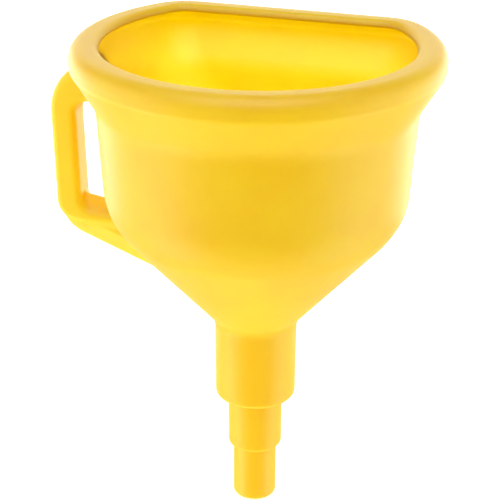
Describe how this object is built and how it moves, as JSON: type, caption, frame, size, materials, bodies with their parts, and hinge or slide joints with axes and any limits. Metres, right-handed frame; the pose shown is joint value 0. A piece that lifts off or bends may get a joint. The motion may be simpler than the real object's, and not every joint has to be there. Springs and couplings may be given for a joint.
{
  "type": "hand funnel",
  "caption": "Hand funnel with a D-shaped mouth, a rolled rim bead, a side loop handle and a spout that narrows in steps, in translucent yellow plastic.",
  "frame": {"origin": "on the spout's axis at the throat, where the cone ends and the widest step of the spout begins: the level at which the funnel sits in a container's neck", "axes": "+Z along the spout's axis, up out of the mouth; +Y out of the flat side of the mouth; the handle is at -X"},
  "size_m": [0.2621, 0.2071, 0.3345],
  "materials": {
    "yellow_polyethylene": "satin, slightly translucent"
  },
  "bodies": {
    "root": {"rim_bead": "yellow_polyethylene", "bowl": "yellow_polyethylene", "cone": "yellow_polyethylene", "spout_stage_large": "yellow_polyethylene", "spout_stage_medium": "yellow_polyethylene", "spout_stage_small": "yellow_polyethylene", "handle_grip": "yellow_polyethylene", "handle_upper_arm": "yellow_polyethylene", "handle_lower_arm": "yellow_polyethylene", "handle_gusset": "yellow_polyethylene"}
  },
  "joints": []
}
